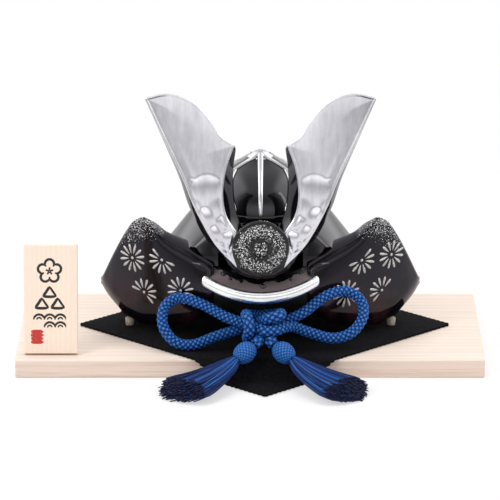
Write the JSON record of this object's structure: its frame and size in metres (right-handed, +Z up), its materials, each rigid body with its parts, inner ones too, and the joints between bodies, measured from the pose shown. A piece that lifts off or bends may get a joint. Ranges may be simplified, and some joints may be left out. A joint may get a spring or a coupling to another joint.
{
  "type": "samurai helmet display ornament",
  "caption": "Glazed ceramic samurai helmet ornament with tall horns, a flower rosette and a braided bow, shown on a felt cloth and a wooden board beside a small plaque.",
  "frame": {"origin": "middle of the board's underside", "axes": "+X along the board to the viewer's right, +Y to the back, +Z up"},
  "size_m": [0.3, 0.2491, 0.1811],
  "materials": {
    "pale_wood": "satin",
    "black_felt": "matte",
    "black_glaze": "gloss",
    "silver_lustre": "satin",
    "bare_clay": "matte",
    "blue_braid": "matte",
    "navy_thread": "matte"
  },
  "bodies": {
    "root": {"display_board": "pale_wood", "name_plaque": "pale_wood", "plaque_prop": "pale_wood", "felt_cloth": "black_felt", "helmet_body": "black_glaze", "foot_left": "bare_clay", "foot_right": "bare_clay", "foot_back_left": "bare_clay", "foot_back_right": "bare_clay", "crest_horns": "silver_lustre", "crest_rosette": "black_glaze", "bow_cord": "blue_braid", "tassel_head_left": "blue_braid", "tassel_head_right": "blue_braid", "tassel_skirt_left": "navy_thread", "tassel_skirt_right": "navy_thread"}
  },
  "joints": []
}
